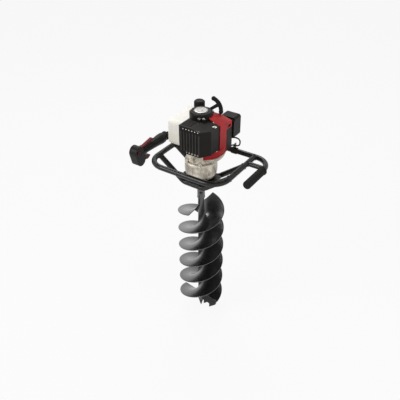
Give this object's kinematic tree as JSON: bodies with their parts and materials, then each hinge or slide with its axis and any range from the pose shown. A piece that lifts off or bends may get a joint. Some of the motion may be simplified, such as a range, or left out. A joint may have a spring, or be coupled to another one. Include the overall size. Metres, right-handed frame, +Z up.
{
  "type": "earth auger",
  "caption": "One-man petrol earth auger: bent-tube handle frame, two-stroke engine on a reduction gearbox, and a double-flight bit with toothed blades",
  "frame": {"origin": "the tip of the pilot point, on the axis of the bit", "axes": "+Z up along the bit, -Y to the front where the operator stands away from the rear bar, +X to the right with the plain grip"},
  "size_m": [0.532, 0.303, 1.0734],
  "materials": {
    "frame_black": "satin black paint on steel tube",
    "bit_black": "gloss black paint on welded steel",
    "blade_steel": "dark painted hardened steel",
    "zinc_steel": "zinc plated fasteners",
    "ground_steel": "ground and machined steel",
    "cast_aluminium": "bare sand-blasted casting",
    "bright_disc": "bright pressed aluminium",
    "red_cover": "glossy red moulding",
    "black_cover": "fine-grained black moulding",
    "grip_rubber": "soft black grip rubber",
    "control_black": "black control moulding",
    "control_red": "red control moulding",
    "cable_sheath": "black extruded sheath",
    "tank_white": "milky blow-moulded polyethylene",
    "seal_rubber": "black nitrile",
    "bulb_rubber": "clear amber bulb",
    "muffler_steel": "heat-tinted pressed steel",
    "plug_ceramic": "glazed ceramic and plated shell",
    "rope_nylon": "braided nylon rope"
  },
  "bodies": {
    "frame": {"handlebar_tube": "frame_black", "ring_tube": "frame_black", "front_support_tube": "frame_black", "rear_support_tube": "frame_black", "grip_braces": "frame_black", "mounting_plate": "frame_black", "frame_bolts": "zinc_steel", "plain_grip": "grip_rubber", "throttle_housing_inner": "control_black", "throttle_housing_outer": "control_black", "throttle_cable": "cable_sheath", "cable_bracket": "frame_black", "gear_case": "cast_aluminium", "gear_cover": "cast_aluminium", "case_bolts": "zinc_steel", "filler_plug": "zinc_steel", "bearings": "ground_steel", "output_seal": "seal_rubber", "fan_cover": "cast_aluminium", "crankcase": "cast_aluminium", "engine_cylinder": "cast_aluminium", "spark_plug": "plug_ceramic", "muffler": "muffler_steel", "muffler_cover": "black_cover", "engine_shroud": "red_cover", "carburettor": "cast_aluminium", "intake_cover": "black_cover", "air_cleaner_base": "black_cover", "air_cleaner_cover": "black_cover", "fuel_tank": "tank_white", "recoil_housing": "black_cover", "recoil_disc": "bright_disc", "engine_bolts": "zinc_steel", "starter_rope": "rope_nylon"},
    "trigger": {"throttle_trigger": "control_black"},
    "lockout": {"lockout_lever": "control_red"},
    "switch": {"stop_switch": "control_red"},
    "primer": {"primer_bulb": "bulb_rubber"},
    "choke": {"choke_lever": "control_black"},
    "knob": {"cover_knob": "control_black"},
    "cap_ring": {"cap_seal": "seal_rubber"},
    "cap": {"fuel_cap": "black_cover"},
    "reel": {"recoil_reel": "control_black"},
    "handle": {"starter_handle": "grip_rubber"},
    "crank": {"crankshaft": "ground_steel", "flywheel": "cast_aluminium", "clutch_shoes": "ground_steel"},
    "rod": {"connecting_rod": "ground_steel"},
    "piston_body": {"piston": "cast_aluminium"},
    "input": {"input_shaft": "ground_steel", "clutch_drum": "ground_steel"},
    "counter": {"counter_gear": "ground_steel"},
    "auger": {"output_shaft": "ground_steel", "output_gear": "ground_steel", "bit_tube": "bit_black", "flight_a": "bit_black", "flight_b": "bit_black", "cutting_blades": "blade_steel", "pilot_point": "blade_steel", "coupling_bolt": "zinc_steel"}
  },
  "joints": [
    {"name": "auger_spin", "type": "hinge", "parent": "frame", "child": "auger", "pos_m": [0, 0, 0.74622], "axis": [0, 0, -1], "continuous": true},
    {"name": "counter_spin", "type": "hinge", "parent": "frame", "child": "counter", "pos_m": [0, 0.03, 0.74622], "axis": [0, 0, -1], "continuous": true},
    {"name": "input_spin", "type": "hinge", "parent": "frame", "child": "input", "pos_m": [0, 0, 0.82922], "axis": [0, 0, -1], "continuous": true},
    {"name": "crank_spin", "type": "hinge", "parent": "frame", "child": "crank", "pos_m": [0, 0, 0.94872], "axis": [0, 0, -1], "continuous": true},
    {"name": "piston_stroke", "type": "slide", "parent": "frame", "child": "piston_body", "axis": [1, 0, 0], "range_m": [-0.028, 0]},
    {"name": "rod_swing", "type": "hinge", "parent": "piston_body", "child": "rod", "pos_m": [0.07, 0, 0.94872], "axis": [0, 0, 1], "range_deg": [-14.5, 14.5]},
    {"name": "starter_pull", "type": "slide", "parent": "frame", "child": "handle", "axis": [0.6562, 0.5908, 0.4695], "range_m": [0, 0.7], "deforming": ["starter_rope"]},
    {"name": "reel_spin", "type": "hinge", "parent": "frame", "child": "reel", "pos_m": [0, 0, 1.02522], "axis": [0, 0, 1], "range_deg": [-1350, 5]},
    {"name": "trigger_pull", "type": "hinge", "parent": "frame", "child": "trigger", "pos_m": [-0.245, -0.084, 0.79522], "axis": [1, 0, 0], "range_deg": [0, 12], "stiffness_Nm_per_rad": 0.6},
    {"name": "lockout_press", "type": "hinge", "parent": "frame", "child": "lockout", "pos_m": [-0.245, -0.088, 0.84122], "axis": [-1, 0, 0], "range_deg": [0, 5.5], "stiffness_Nm_per_rad": 0.6},
    {"name": "switch_slide", "type": "slide", "parent": "frame", "child": "switch", "axis": [0, -1, 0], "range_m": [0, 0.007]},
    {"name": "choke_turn", "type": "hinge", "parent": "frame", "child": "choke", "pos_m": [0.03, 0.0875, 0.96872], "axis": [1, 0, 0], "range_deg": [0, 60]},
    {"name": "primer_press", "type": "slide", "parent": "frame", "child": "primer", "axis": [1, 0, 0], "range_m": [0, 0.004], "stiffness_N_per_m": 400},
    {"name": "knob_turn", "type": "hinge", "parent": "frame", "child": "knob", "pos_m": [0.064, 0.137, 0.94872], "axis": [0, 1, 0], "range_deg": [0, 90]},
    {"name": "cap_lift", "type": "slide", "parent": "frame", "child": "cap_ring", "axis": [0, 0, 1], "range_m": [0, 0.006]},
    {"name": "cap_turn", "type": "hinge", "parent": "cap_ring", "child": "cap", "pos_m": [-0.089, 0.123, 1], "axis": [0, 0, 1], "range_deg": [0, 545]}
  ],
  "couplings": [
    {"joint": "counter_spin", "follows": "auger_spin", "ratio": -3.8},
    {"joint": "input_spin", "follows": "auger_spin", "ratio": 19},
    {"joint": "reel_spin", "follows": "starter_pull", "rad_per_m": -33.333},
    {"joint": "cap_turn", "follows": "cap_lift", "rad_per_m": 1570.8}
  ]
}
